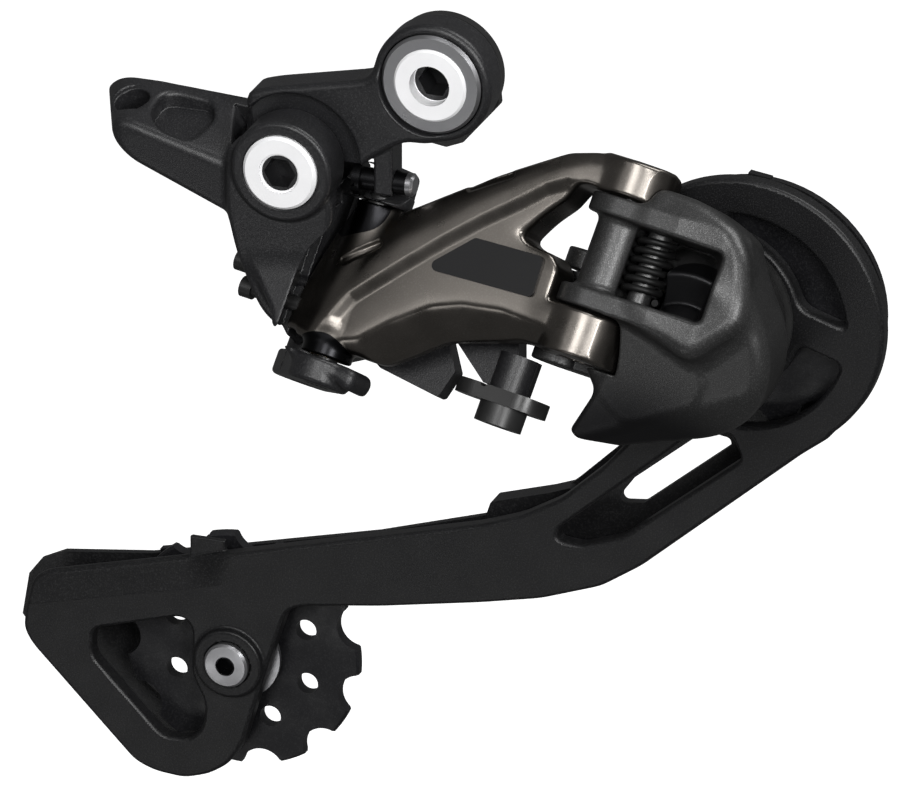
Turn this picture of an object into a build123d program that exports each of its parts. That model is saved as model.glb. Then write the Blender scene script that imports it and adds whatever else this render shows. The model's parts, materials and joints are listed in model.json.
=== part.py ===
from build123d import *
from math import cos, sin, radians, pi, hypot, atan2, degrees
import os

# Rear bicycle derailleur, long cage, in millimetres.
# Frame: origin on the mount bolt's axis where the stop plate meets the dropout,
# +X forward along the bicycle, +Y inboard, +Z up. The gear is in its outermost
# position and the cage is swung right back.

# ---------------------------------------------------------------- driving dimensions
CHAIN_PITCH = 12.7
ROLLER_R = 3.96
PULLEY_TEETH = 11
PULLEY_TIP_R = 21.5
RUN_CLEAR = 0.05            # radial clearance of every turning fit
FIT_CLEAR = 0.02            # radial gap round a part that is pressed or screwed in

MOUNT_BOLT_R = 5.0          # M10x1 thread
MOUNT_HEAD_R = 6.5
MOUNT_COLLAR_R = 8.9
MOUNT_BOSS_R = 10.6
MOUNT_REACH = 8.5           # thread that stands into the dropout
LINK_FRONT, LINK_BACK = -9.4, -1.8
MOUNT_FACE_Y = -8.2

B_AXLE = (-24.1, -16.2)     # X, Z of the bracket axle
B_BOSS_R = 9.0
B_BOSS_FRONT = -17.5
B_HEAD_R = 6.6
B_AXLE_R = 4.0
B_RECESS_R = 11.4
B_BUSH_R = 5.2
B_SPRING_R = 6.8            # coil of the spring that holds the knuckle back
B_SPRING_WIRE_R = 0.6
B_SPRING_ROOM = (5.9, 7.7)  # inner and outer radius of the room round it
B_SPRING_FRONT = -13.4
B_SCREW = (-9.0, -6.0, -19.8)         # point on the B-tension screw's axis, which runs along X

CABLE_EYE = (-55.0, -6.0, -11.3)      # mouth of the housing socket
CABLE_DIR = Vector(-0.20, -0.30, 0.93).normalized()
CABLE_BORE_R = 3.05
CABLE_BORE_LEN = 5.6
CABLE_ARM_Y = (-14.0, 1.0)
FERRULE_R = 2.6

P_AXLE = (46.1, -39.8)      # X, Z of the cage axle
P_FRONT_R, P_REAR_R = 16.8, 13.6
P_FRONT, P_BACK = -17.0, 3.3
P_AXLE_R = 4.5
P_BUSH_R = 5.6
P_CAVITY_R = 11.6
P_CAVITY_FRONT = -9.5
P_SPIGOT_R = 2.6
STOP_PIN = (31.8, -53.6)    # X, Z of the pin that stops the cage against the knuckle
STOP_PIN_R = 1.9

GUIDE = (52.2, -40.5)       # X, Z of the guide pulley
TENSION = (-41.7, -117.9)   # X, Z of the tension pulley
PULLEY_Y = 11.5
OUTER_FRONT, OUTER_BACK = 4.5, 7.6
INNER_FRONT, INNER_BACK = 15.4, 17.2
PULLEY_BOLT_R = 2.5
PULLEY_HEAD_R = 4.0
BUSH_R = 4.2
CAP_R = 8.0
RIM = (51.5, -40.3)         # centre of the outer plate's round end
RIM_R = 24.9
# bent tabs on the inner plate that keep the chain in: x, z, turn, width
INNER_TABS = ((50.2, -20.2, -8, 4.0), (-57.3, -104.9, 13, 1.8), (-47.8, -101.3, 13, 4.2))

# the four-bar: two parallel links on four parallel pins
REAR_PIN = (-13.1, -10.7, -36.4)      # rear outer pin at its middle
FRONT_PIN = (32.3, -8.7, -27.5)      # front outer pin at its middle
PIN_DIR = Vector(0.177, 0.495, 0.851).normalized()
PIN_R = 2.2
PIN_BUSH_R = 3.0
INNER_DX, INNER_DY = -7.0, 9.85       # inner pins from the outer ones, in the link frame

SPAN = Vector(FRONT_PIN) - Vector(REAR_PIN)
RISE = SPAN.dot(PIN_DIR)              # how far the front pins sit up the pin direction
LINK_DIR = (SPAN - PIN_DIR * RISE).normalized()
LINK_LEN = (SPAN - PIN_DIR * RISE).length
# link frame: x along the links, y inboard, z along the pins, origin on the rear outer pin
LINK = Plane(origin=REAR_PIN, x_dir=LINK_DIR, z_dir=PIN_DIR)

OUTER_REAR_Z = (-14.3, 13.0)          # outer link's rear barrel
OUTER_TOP_Z = (27.5, 33.6)            # its upper front ear
OUTER_LOW_Z = (-1.0, 6.8)             # its lower front ear
FLANGE_TOP_Z = (23.4, 27.1)           # P-knuckle's flanges between those ears
FLANGE_LOW_Z = (7.3, 11.0)
INNER_REAR_Z = (-14.3, 2.0)
INNER_FRONT_Z = (1.6, 13.4)
EAR_R = 5.4                           # round the rear pins
FRONT_EAR_R = 6.6                     # round the front outer pin
INNER_EAR_R = 4.6
RETURN_POST = (LINK_LEN + 7.0, 0.4)   # x, y of the return spring's post
CLAMP_X, CLAMP_Y = 30.0, INNER_DY - 0.6      # x, y of the cable's fixing bolt
CLAMP_BOLT_R = 2.0
CLAMP_BOSS_R = 3.6
LIMIT_SCREWS = {"high_limit_screw": (-3.2, -0.5, -18.9), "low_limit_screw": (-7.2, -0.5, -16.4)}  # z, y, head's x
LIMIT_SCREW_R, LIMIT_HEAD_R = 1.3, 1.8
UPWARD = (Align.CENTER, Align.CENTER, Align.MIN)
DOWNWARD = (Align.CENTER, Align.CENTER, Align.MAX)


# ---------------------------------------------------------------- helpers
def along_y(x, z, r, y0, y1):
    """Cylinder with its axis along Y through (x, z)."""
    return Pos(x, (y0 + y1) / 2, z) * Rot(90, 0, 0) * Cylinder(r, abs(y1 - y0))


def hex_along_y(x, z, across_flats, y0, y1):
    prism = extrude(RegularPolygon(across_flats / 2, 6, major_radius=False), abs(y1 - y0) / 2, both=True)
    return Pos(x, (y0 + y1) / 2, z) * Rot(90, 0, 0) * prism


def plate(outline, y0, y1):
    """Slab between two Y values from an XZ outline face drawn with local y as Z."""
    return Pos(0, y1, 0) * Rot(90, 0, 0) * extrude(outline, y1 - y0)


def polygon(points):
    return make_face(Polyline(*points, close=True))


def rounded(points, radius):
    """Polygon with every corner rounded."""
    return fillet(polygon(points).vertices(), radius)


def pin_barrel(x, y, r, z0, z1):
    """Cylinder along the pins, in the link frame."""
    return LINK * Pos(x, y, (z0 + z1) / 2) * Cylinder(r, z1 - z0)


def link_slab(face, y0, y1):
    """Slab in the link frame from an outline in its x-z plane."""
    return LINK * Pos(0, y1, 0) * Rot(90, 0, 0) * extrude(face, y1 - y0)


def pin_plate(face, z0, z1):
    """Slab square to the pins from an outline in the link frame's x-y plane."""
    return LINK * Pos(0, 0, z0) * extrude(face, z1 - z0)


def stadium(a, b, r):
    """Face of all points within r of the segment a-b."""
    length = hypot(b[0] - a[0], b[1] - a[1])
    turn = degrees(atan2(b[1] - a[1], b[0] - a[0]))
    return Pos((a[0] + b[0]) / 2, (a[1] + b[1]) / 2) * Rot(0, 0, turn) * SlotOverall(length + 2 * r, 2 * r)


def coil(radius, wire_r, height, turns):
    """Coil of wire along Z from z = 0, with its ends left flush."""
    path = Helix(height / turns, height, radius)
    section = Plane(path @ 0, z_dir=path % 0) * Circle(wire_r)
    return sweep(section, path)


PARTS = {}


def part(name):
    """Decorator: keeps the solid that a function returns under its node's name."""
    def keep(make):
        PARTS[name] = make
        return make
    return keep


# ---------------------------------------------------------------- hanger side
@part("hanger_link")
def hanger_link():
    bx, bz = B_AXLE
    arm = rounded([(-33.3, -5.8), (-33.0, -10.5), (-31.5, -19.5), (-27.0, -26.2), (-20.6, -25.8), (-15.6, -19.6),
                   (-10.8, -15.0), (-4.8, -11.0), (0, -10.6), (6, 0), (0, 7.5), (-11.5, -0.6), (-29.5, -4.5)], 1.4)
    body = plate(arm, LINK_FRONT, LINK_BACK)
    body += along_y(0, 0, MOUNT_BOSS_R, MOUNT_FACE_Y, LINK_BACK)
    body -= along_y(bx, bz, B_RECESS_R, LINK_FRONT - 1, LINK_FRONT + 1.9)
    body -= along_y(0, 0, MOUNT_BOSS_R - 1.2, LINK_FRONT - 3, MOUNT_FACE_Y)
    body -= along_y(0, 0, MOUNT_COLLAR_R + 0.25, LINK_FRONT - 3, -5.0)
    body -= along_y(0, 0, MOUNT_BOLT_R + 0.15, -6, 0)
    body -= along_y(bx, bz, B_AXLE_R + FIT_CLEAR, LINK_FRONT, LINK_BACK)
    body += stop_lug(0)
    x, y, z = B_SCREW
    body -= Pos(x, y, z) * Rot(0, 90, 0) * Cylinder(2.0 + FIT_CLEAR, 20)
    body -= Pos(x - 6.6, y, z) * Rot(0, 90, 0) * Cylinder(3.4, 9.6)
    return body


def stop_lug(grow):
    """Block under the arm that the B-tension screw runs through."""
    return Pos(-8.8, -5.6, -17.0) * Box(3.4 + grow, 5.6 + grow, 9.2 + grow)


@part("stop_plate")
def stop_plate():
    tab = rounded([(-9.5, -4.0), (-8.4, -12.6), (0.3, -13.9), (3.4, -12.6), (9.8, -5.0), (9.0, 3.0), (-9, 3)], 1.0)
    ring = plate(tab, LINK_BACK, 0) + along_y(0, 0, MOUNT_BOSS_R - 0.4, LINK_BACK, 0)
    return ring - along_y(0, 0, MOUNT_BOLT_R + 0.15, -3, 1)


@part("mount_bolt")
def mount_bolt():
    head = along_y(0, 0, MOUNT_HEAD_R, LINK_FRONT, -5.0)
    head = chamfer(head.edges().group_by(Axis.Y)[0], 0.4)
    shank = along_y(0, 0, MOUNT_BOLT_R, 0, MOUNT_REACH)
    shank = chamfer(shank.edges().group_by(Axis.Y)[-1], 0.8) + along_y(0, 0, MOUNT_BOLT_R - 0.2, -5.0, 0)
    socket = along_y(0, 0, 3.6, LINK_FRONT, -6.8) + hex_along_y(0, 0, 5.0, -7, -1.5)
    return head + shank - socket


@part("mount_collar")
def mount_collar():
    ring = along_y(0, 0, MOUNT_COLLAR_R, -8.9, -5.0)
    ring = chamfer(ring.edges().group_by(Axis.Y)[0], 0.5)
    return ring - along_y(0, 0, MOUNT_HEAD_R + FIT_CLEAR, -10, -4)


@part("bracket_axle_bolt")
def bracket_axle_bolt():
    bx, bz = B_AXLE
    head = along_y(bx, bz, B_HEAD_R, B_BOSS_FRONT, B_BOSS_FRONT + 3.0)
    head = chamfer(head.edges().group_by(Axis.Y)[0], 0.5)
    shank = along_y(bx, bz, B_AXLE_R, B_BOSS_FRONT + 3.0, LINK_BACK)
    cone = along_y(bx, bz, 3.6, B_BOSS_FRONT, B_BOSS_FRONT + 0.5)
    return head + shank - cone - hex_along_y(bx, bz, 5.0, B_BOSS_FRONT, B_BOSS_FRONT + 5.0)


@part("b_tension_screw")
def b_tension_screw():
    x, y, z = B_SCREW
    shank = Pos(x + 0.6, y, z) * Rot(0, 90, 0) * Cylinder(2.0, 9.4)
    shank = chamfer(shank.edges().group_by(Axis.X)[-1], 0.4)
    head = Pos(x - 4.6, y, z) * Rot(0, 90, 0) * Cylinder(3.0, 1.4)
    slot = Pos(x - 5.2, y, z) * Box(1.0, 7, 0.9)
    return shank + head - slot


# ---------------------------------------------------------------- B-knuckle side
def cable_arm():
    """Arm that carries the housing, behind the hanger link's end."""
    front = [(-57.4, -12.0), (-56.0, -11.4), (-50.9, -12.2), (-33.5, -17.6), (-33.5, -27.0), (-37.5, -25.8),
             (-49.5, -21.2), (-53.0, -19.2)]
    back = [(-62.6, -14.5), (-60.6, -11.6), (-56.0, -9.6), (-33.5, -10.2), (-33.5, -27.0), (-37.5, -25.8),
            (-49.5, -21.2), (-59.5, -18.4)]
    near, far = CABLE_ARM_Y
    body = loft([plane_face(front, near), plane_face(back, far)], ruled=True)
    pocket = rounded([(-50.4, -9.0), (-50.4, -3.6), (-48.5, -2.3), (-41.6, -2.5), (-40.2, -6.0), (-42.4, -12.2),
                      (-47.6, -12.2)], 1.2)
    return body - Pos(0, 0, -15.6) * extrude(pocket, 12)


def plane_face(points, y):
    """Flat face square to Y through the given X-Z points."""
    return make_face(Polyline(*[(x, y, z) for x, z in points], close=True))


@part("b_knuckle")
def b_knuckle():
    bx, bz = B_AXLE
    boss = along_y(bx, bz, B_BOSS_R, B_BOSS_FRONT + 0.6, LINK_FRONT + 1.8)
    boss = chamfer(boss.edges().group_by(Axis.Y)[0], 0.6)
    skirt = plate(rounded([(-36.6, -12.5), (-37.0, -26.5), (-29.0, -37.0), (-24.5, -42.5), (-15.2, -42.5),
                           (-15.2, -20.0), (-24.1, -16.0)], 2.0), -16.5, -10.6)
    lobe = link_slab(rounded([(-24, 8), (-22, 1.3), (-16.5, -6.4), (-12.5, -13.5), (-10.6, -19.0), (-7.5, -19.2),
                              (-9.6, -8), (-11.5, 4.2), (-11.5, 16), (-24, 14)], 0.9), -6.5, 5.0)
    ear = stadium((0, 0), (INNER_DX, INNER_DY), EAR_R)
    root = polygon([(-12.0, 0.0), (0, 0.0), (-6.0, 9.0), (-12.0, 9.0)])
    low_ear = pin_plate(ear + root, -19.2, -14.7)
    hook = link_slab(rounded([(-9.0, -9.0), (-9.0, -12.2), (-7.9, -13.8), (-6.0, -16.0), (-3.3, -17.4), (0.8, -18.0),
                              (4.8, -18.3), (8.6, -19.2), (9.5, -16.5), (8.6, -14.8), (-4.5, -14.7), (-4.5, -9.0)], 0.6),
                     -5.2, 4.7)
    wall = pin_plate(polygon([(-22, 2), (-11.5, 2), (-9.8, 8.9), (1.2, 8.9), (1.2, 11.2), (-14, 11.2), (-22, 6)]),
                     7.5, 20.4)
    wall &= link_slab(rounded([(-24, 7.5), (-24, 14.0), (-11.0, 19.4), (-4.0, 20.4), (1.2, 20.4), (1.2, 12.8),
                               (-4.0, 10.0), (-8.0, 7.5)], 1.0), 0, 14)
    top_ear = pin_plate(Circle(EAR_R) + polygon([(-13, -5), (0, -5.3), (0, 5.3), (-13, 5)]), 13.4, 16.0)
    mid_face = Pos(INNER_DX, INNER_DY) * Circle(INNER_EAR_R) + polygon([(-20, 2), (-11, 2), (-5, 6), (-9, 14), (-18, 9)])
    mid_ear = pin_plate(mid_face, 2.5, 7.5)
    body = boss + skirt + lobe + low_ear + hook + top_ear + mid_ear + wall + cable_arm()
    body -= link_room()
    body -= stop_lug(0.8)
    x, y, z = B_SCREW
    body -= Pos(x - 0.9, y, z) * Rot(0, 90, 0) * Cylinder(3.5, 11.0)
    body -= pin_barrel(0, 0, PIN_R + FIT_CLEAR, -19.0, 20)
    body -= pin_barrel(INNER_DX, INNER_DY, PIN_R + FIT_CLEAR, -19.0, 20)
    for z, y, head_x in LIMIT_SCREWS.values():
        body -= LINK * Pos(head_x, y, z) * Rot(0, 90, 0) * Cylinder(LIMIT_HEAD_R + 0.2, 10, align=DOWNWARD)
        body -= LINK * Pos(head_x, y, z) * Rot(0, 90, 0) * Cylinder(LIMIT_SCREW_R + FIT_CLEAR, 30)
    body -= plate(Pos(bx, bz) * Circle(B_RECESS_R + 0.4), LINK_FRONT + 1.8, LINK_BACK + 0.3)
    for angle in range(0, 35, 5):
        body -= turned_about_b_axle(plate(hanger_end(), LINK_FRONT - 0.35, LINK_BACK + 0.3), -angle)
    body -= along_y(bx, bz, B_BUSH_R + FIT_CLEAR, B_BOSS_FRONT, 0)
    body -= along_y(bx, bz, B_HEAD_R + 0.1, B_BOSS_FRONT - 1, B_BOSS_FRONT + 3.1)
    sleeve_r, room_r = B_SPRING_ROOM
    body -= along_y(bx, bz, room_r, B_SPRING_FRONT, 0) - along_y(bx, bz, sleeve_r, B_BOSS_FRONT, LINK_FRONT + 1.8)
    eye = Plane(origin=CABLE_EYE, z_dir=CABLE_DIR)
    body -= eye * Pos(0, 0, -CABLE_BORE_LEN / 2) * Cylinder(CABLE_BORE_R, CABLE_BORE_LEN)
    body -= eye * Pos(0, 0, 5) * Cylinder(3.8, 10)
    body -= eye * Pos(0, 0, -CABLE_BORE_LEN - 0.6) * Cylinder(FERRULE_R + FIT_CLEAR, 1.2)
    body -= eye * Pos(0, 0, -10) * Cylinder(1.0, 30)
    return max(body.solids(), key=lambda solid: solid.volume)


def link_room():
    """Space that the links' rear ends turn in."""
    low, high = OUTER_REAR_Z
    outboard = Circle(11.2) - Pos(0, 15.5) * Rectangle(30, 30)
    room = pin_plate(Circle(8.3) + outboard, low - 0.3, high + 0.3)
    low, high = INNER_REAR_Z
    inner_room = Pos(INNER_DX, INNER_DY) * (Circle(4.8) + Pos(6, 1) * Rectangle(12, 10))
    return room + pin_plate(inner_room, low - 0.3, high + 0.4)


def hanger_end():
    """Outline of the hanger link's end with clearance round it."""
    return rounded([(-33.7, -5.4), (-33.4, -10.6), (-31.9, -19.8), (-27.3, -26.7), (-20.4, -26.2), (-15.0, -19.6),
                    (-2.0, -12.0), (0, 2.0), (-12.0, -0.2), (-29.7, -4.1)], 0.8)


def turned_about_b_axle(solid, angle):
    bx, bz = B_AXLE
    return Pos(bx, 0, bz) * Rot(0, angle, 0) * Pos(-bx, 0, -bz) * solid


@part("bracket_bushing")
def bracket_bushing():
    bx, bz = B_AXLE
    sleeve = along_y(bx, bz, B_BUSH_R, B_BOSS_FRONT + 3.1, LINK_FRONT + 1.8)
    return sleeve - along_y(bx, bz, B_AXLE_R + RUN_CLEAR, B_BOSS_FRONT, 0)


@part("bracket_spring")
def bracket_spring():
    bx, bz = B_AXLE
    length = LINK_FRONT + 1.2 - B_SPRING_FRONT - 2 * B_SPRING_WIRE_R
    start = LINK_FRONT + 1.2 - B_SPRING_WIRE_R
    return Pos(bx, start, bz) * Rot(90, 0, 0) * coil(B_SPRING_R, B_SPRING_WIRE_R, length, 2.5)


@part("cable_ferrule")
def cable_ferrule():
    eye = Plane(origin=CABLE_EYE, z_dir=CABLE_DIR)
    outer = eye * Pos(0, 0, -CABLE_BORE_LEN - 0.6) * Cylinder(FERRULE_R, 1.2)
    return outer - eye * Cylinder(1.0, 3 * CABLE_BORE_LEN)


def limit_screw(z, y, head_x):
    """Screw along the link frame's x, its head's inner face at head_x."""
    shank = LINK * Pos(head_x, y, z) * Rot(0, 90, 0) * Cylinder(LIMIT_SCREW_R, 9.0, align=UPWARD)
    head = LINK * Pos(head_x, y, z) * Rot(0, 90, 0) * Cylinder(LIMIT_HEAD_R, 2.2, align=DOWNWARD)
    cross = LINK * Pos(head_x - 2.0, y, z) * (Box(1.2, 2.4, 0.6) + Box(1.2, 0.6, 2.4))
    return shank + head - cross


@part("high_limit_screw")
def high_limit_screw():
    return limit_screw(*LIMIT_SCREWS["high_limit_screw"])


@part("low_limit_screw")
def low_limit_screw():
    return limit_screw(*LIMIT_SCREWS["low_limit_screw"])


def link_pin(x, y, z0, z1):
    pin = pin_barrel(x, y, PIN_R, z0, z1)
    return chamfer(pin.edges(), 0.3)


@part("rear_outer_pin")
def rear_outer_pin():
    return link_pin(0, 0, -18.9, 14.8)


@part("rear_inner_pin")
def rear_inner_pin():
    return link_pin(INNER_DX, INNER_DY, -18.9, 6.2)


# ---------------------------------------------------------------- links
@part("outer_link")
def outer_link():
    front = link_slab(make_face(
        Polyline((-8.6, -11.4), (1.7, -11.5), (5.9, -9.8)) + Spline((5.9, -9.8), (12.4, -3.8), (22.2, 1.3),
                 (29.5, 2.5), (37.4, 2.2), (LINK_LEN, -1.0)) +
        Polyline((LINK_LEN, -1.0), (LINK_LEN, 6.8), (36.4, 6.8), (35.6, 13.2), (34.2, 14.6), (30.4, 14.6), (28.4, 16.4),
                 (33.6, 26.4), (35.6, 27.5), (LINK_LEN, 27.5), (LINK_LEN, 33.6), (36.0, 33.6), (32.0, 32.6),
                 (8.6, 15.1), (6.2, 12.9), (1.7, 12.6), (-1.4, 8.2), (-5.8, 2.0), (-8.3, -4.2), (-8.6, -11.4))), -6.2, -2.4)
    back = link_slab(polygon([(-6.6, -12.2), (10.5, -12.4), (20.0, -5.0), (33.0, -1.0), (LINK_LEN, -1.0),
                              (LINK_LEN, 6.8), (36.4, 6.8), (34.6, 13.6), (28.4, 15.4), (33.6, 26.4), (35.6, 27.5),
                              (LINK_LEN, 27.5), (LINK_LEN, 32.6), (32.0, 31.6), (7.9, 12.8), (-6.6, 2.0)]), -2.4, 3.4)
    hollow = link_slab(polygon([(9.0, -6.0), (20.0, -1.0), (32.0, 2.0), (32.0, 11.5), (24.0, 14.0), (28.0, 23.0),
                                (9.0, 9.5)]), -1.2, 4.0)
    outboard = Pos(LINK_LEN, 0) * Circle(FRONT_EAR_R) - Pos(LINK_LEN, 10) * Rectangle(20, 20)
    top_ear = pin_plate(outboard + Pos(LINK_LEN, 0) * Circle(5.2), *OUTER_TOP_Z)
    low_ear = pin_plate(Pos(LINK_LEN, 0) * Circle(FRONT_EAR_R), *OUTER_LOW_Z)
    body = front + back - hollow + top_ear + low_ear
    body += pin_barrel(0, 0, 5.0, *OUTER_REAR_Z)
    body -= pin_plate(Circle(7.0) - Circle(5.0) + Pos(-10, 6.4) * Rectangle(14, 6.0), -16, OUTER_REAR_Z[0] + 2.6)
    body -= pin_barrel(0, 0, PIN_BUSH_R + FIT_CLEAR, -20, 20)
    body -= pin_barrel(LINK_LEN, 0, PIN_BUSH_R + FIT_CLEAR, -5, 32.2)
    body -= link_slab(badge_outline(0.15), -7, -5.3)
    return body


def badge_outline(grow=0.0):
    return offset(rounded([(13.6, 5.2), (21.0, 12.8), (34.0, 13.4), (34.4, 6.2)], 1.0), grow)


@part("badge_plate")
def badge_plate():
    """Blank inlay in the outer link's face."""
    return link_slab(badge_outline(), -5.9, -5.3)


def pin_bush(x, y, z0, z1):
    return pin_barrel(x, y, PIN_BUSH_R, z0, z1) - pin_barrel(x, y, PIN_R + RUN_CLEAR, z0 - 1, z1 + 1)


@part("outer_link_bushings")
def outer_link_bushings():
    """Four plain bushings pressed into the outer link's eyes."""
    low, high = OUTER_REAR_Z
    return Compound([pin_bush(0, 0, low, low + 7), pin_bush(0, 0, high - 7, high),
                     pin_bush(LINK_LEN, 0, *OUTER_LOW_Z), pin_bush(LINK_LEN, 0, OUTER_TOP_Z[0], 32.2)])


@part("inner_link")
def inner_link():
    x1, y1 = INNER_DX, INNER_DY
    x2 = x1 + LINK_LEN
    web = link_slab(rounded([(x1, -14.0), (x1 + 6, -13.6), (x1 + 24, -3.6), (x2 - 6, 1.8), (x2, 1.8), (x2, 13.0),
                             (x1 + 20, 7.5), (x1 + 6, 1.8), (x1, 1.6)], 0.8), y1 - 1.9, y1 + 1.9)
    fin = link_slab(rounded([(2.0, -10.0), (6.7, -12.6), (18.5, -14.2), (19.9, -9.0), (15.8, -3.0), (5.0, -4.0)], 0.8),
                    y1 - 1.9, y1 + 1.9)
    gusset = link_slab(polygon([(14.0, 0.0), (17.6, -3.7), (25.4, -9.3), (CLAMP_X + 3, -9.3), (CLAMP_X + 3, -3.2),
                                (CLAMP_X, -3.2), (CLAMP_X - 2, 2.0)]), y1 - 1.9, y1 + 1.9)
    body = web + fin + gusset + pin_barrel(x1, y1, 4.4, *INNER_REAR_Z) + pin_barrel(x2, y1, 4.4, *INNER_FRONT_Z)
    body += pin_barrel(CLAMP_X, CLAMP_Y, CLAMP_BOSS_R, -9.5, -3.2)
    body -= pin_barrel(x1, y1, PIN_BUSH_R + FIT_CLEAR, -20, 20)
    body -= pin_barrel(x2, y1, PIN_BUSH_R + FIT_CLEAR, -20, 20)
    return body - pin_barrel(CLAMP_X, CLAMP_Y, CLAMP_BOLT_R + FIT_CLEAR, -12, -3.8)


@part("inner_link_bushings")
def inner_link_bushings():
    x1, y1 = INNER_DX, INNER_DY
    low, high = INNER_REAR_Z
    return Compound([pin_bush(x1, y1, low, low + 6), pin_bush(x1, y1, high - 6, high),
                     pin_bush(x1 + LINK_LEN, y1, *INNER_FRONT_Z)])


@part("cable_clamp_plate")
def cable_clamp_plate():
    """Keyed washer that traps the cable against the inner link."""
    face = stadium((CLAMP_X - 4.6, CLAMP_Y), (CLAMP_X + 3.0, CLAMP_Y), 4.6)
    body = pin_plate(face, -12.1, -9.5)
    groove = LINK * Pos(CLAMP_X - 3.0, CLAMP_Y, -9.5) * Rot(90, 0, 0) * Cylinder(0.6, 30)
    return body - pin_barrel(CLAMP_X, CLAMP_Y, CLAMP_BOLT_R + 0.1, -20, 0) - groove


@part("cable_fixing_bolt")
def cable_fixing_bolt():
    shank = pin_barrel(CLAMP_X, CLAMP_Y, CLAMP_BOLT_R, -12.1, -4.0)
    head = pin_barrel(CLAMP_X, CLAMP_Y, 4.2, -15.6, -12.1)
    socket = LINK * Pos(CLAMP_X, CLAMP_Y, -15.6) * extrude(RegularPolygon(2.0, 6, major_radius=False), 2.4)
    return shank + head - socket


# ---------------------------------------------------------------- P-knuckle side
@part("p_knuckle")
def p_knuckle():
    px, pz = P_AXLE
    front_face = Pos(px, pz) * Circle(P_FRONT_R)
    front_face += polygon([(26.8, -57.9), (30.0, -58.6), (45.9, pz - P_FRONT_R), (px, pz), (px - 4, pz + 16.3),
                           (36.4, -36.0), (35.0, -42.0), (31.4, -49.5)])
    front = plate(front_face, P_FRONT + 1.6, -4.0) + plate(offset(front_face, -1.6), P_FRONT, P_FRONT + 2)
    rear = along_y(px, pz, P_REAR_R, -4.5, P_BACK)
    flange = (Pos(LINK_LEN, 0) * Circle(FRONT_EAR_R) +
              polygon([(LINK_LEN, -FRONT_EAR_R), (LINK_LEN + 14, -6.0), (LINK_LEN + 22, -2.0), (LINK_LEN + 22, 9.0),
                       (LINK_LEN, FRONT_EAR_R)]))
    top_flange = pin_plate(flange, *FLANGE_TOP_Z)
    low_flange = pin_plate(flange, *FLANGE_LOW_Z)
    x2, y2 = LINK_LEN + INNER_DX, INNER_DY
    lug = (Pos(x2, y2) * Circle(INNER_EAR_R) +
           polygon([(x2, y2 - 2.2), (x2 + 16, y2 - 2.2), (x2 + 16, y2 + INNER_EAR_R), (x2, y2 + INNER_EAR_R)]))
    low_lug = pin_plate(lug, -2.6, INNER_FRONT_Z[0] - 0.4)
    top_lug = pin_plate(lug, INNER_FRONT_Z[1] + 0.4, 17.4)
    hood = link_slab(rounded([(LINK_LEN + 4.6, 18.0), (LINK_LEN + 4.6, 30.8), (LINK_LEN + 14.0, 30.8),
                              (LINK_LEN + 20.6, 28.9), (LINK_LEN + 25.0, 25.0), (LINK_LEN + 27.8, 18.0),
                              (LINK_LEN + 28.2, 12.0), (LINK_LEN + 21.0, 4.0), (LINK_LEN + 9.0, 8.0)], 1.5), -5.5, 7.0)
    solid = front + rear + top_flange + low_flange + hood
    cavity = pin_plate(polygon([(LINK_LEN - 8, -16), (LINK_LEN + 15.5, -16), (LINK_LEN + 17.5, 4),
                                (LINK_LEN + 12, 12), (LINK_LEN - 8, 12)]), FLANGE_LOW_Z[1], FLANGE_TOP_Z[0])
    cavity -= along_y(px, pz, P_REAR_R - 0.6, P_CAVITY_FRONT - 1.5, P_BACK + 20)
    cavity -= along_y(px, pz, P_BUSH_R + 1.6, P_FRONT, P_BACK)
    ear_room = (Pos(LINK_LEN, 0) * Circle(FRONT_EAR_R + 0.6) +
                Pos(LINK_LEN - 10, -3) * Rectangle(20, 2 * FRONT_EAR_R + 8))
    solid -= cavity
    solid -= pin_plate(ear_room, OUTER_LOW_Z[0] - 0.5, FLANGE_LOW_Z[0])
    solid -= pin_plate(ear_room, FLANGE_TOP_Z[1], OUTER_TOP_Z[1] + 2)
    solid += low_lug + top_lug
    solid += pin_barrel(LINK_LEN, 0, 4.6, FLANGE_LOW_Z[0], FLANGE_TOP_Z[1])
    solid -= pin_barrel(x2, y2, INNER_EAR_R + 0.3, INNER_FRONT_Z[0] - 0.4, INNER_FRONT_Z[1] + 0.4)
    solid -= pin_barrel(x2, y2, PIN_R + FIT_CLEAR, -10, 17.2)
    solid -= pin_barrel(LINK_LEN, 0, PIN_R + FIT_CLEAR, -10, 40)
    solid -= along_y(px, pz, P_CAVITY_R, P_CAVITY_FRONT, P_BACK + 1)
    solid -= along_y(px, pz, P_BUSH_R + FIT_CLEAR, P_FRONT + 3.0, 0)
    solid -= Pos(px, P_BACK + 20, pz) * Box(90, 40, 90)
    solid -= pin_barrel(*RETURN_POST, 4.1, FLANGE_LOW_Z[1], FLANGE_TOP_Z[0])
    post = pin_barrel(*RETURN_POST, 2.0, FLANGE_LOW_Z[1] - 0.5, FLANGE_TOP_Z[0] + 0.5)
    return solid + post


@part("return_spring")
def return_spring():
    low, high = FLANGE_LOW_Z[1] + 1.2, FLANGE_TOP_Z[0] - 1.2
    return LINK * Pos(*RETURN_POST, low) * coil(3.0, 0.6, high - low, 6)


@part("front_outer_pin")
def front_outer_pin():
    return link_pin(LINK_LEN, 0, -0.8, 32.0)


@part("front_inner_pin")
def front_inner_pin():
    return link_pin(LINK_LEN + INNER_DX, INNER_DY, -2.4, 17.0)


@part("p_bushing")
def p_bushing():
    px, pz = P_AXLE
    return (along_y(px, pz, P_BUSH_R, P_FRONT + 3.0, P_CAVITY_FRONT + 6)
            - along_y(px, pz, P_AXLE_R + RUN_CLEAR, P_FRONT, 5))


@part("cage_spring")
def cage_spring():
    px, pz = P_AXLE
    return Pos(px, 1.8, pz) * Rot(90, 0, 0) * coil(9.4, 1.0, 9.6, 4)


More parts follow.
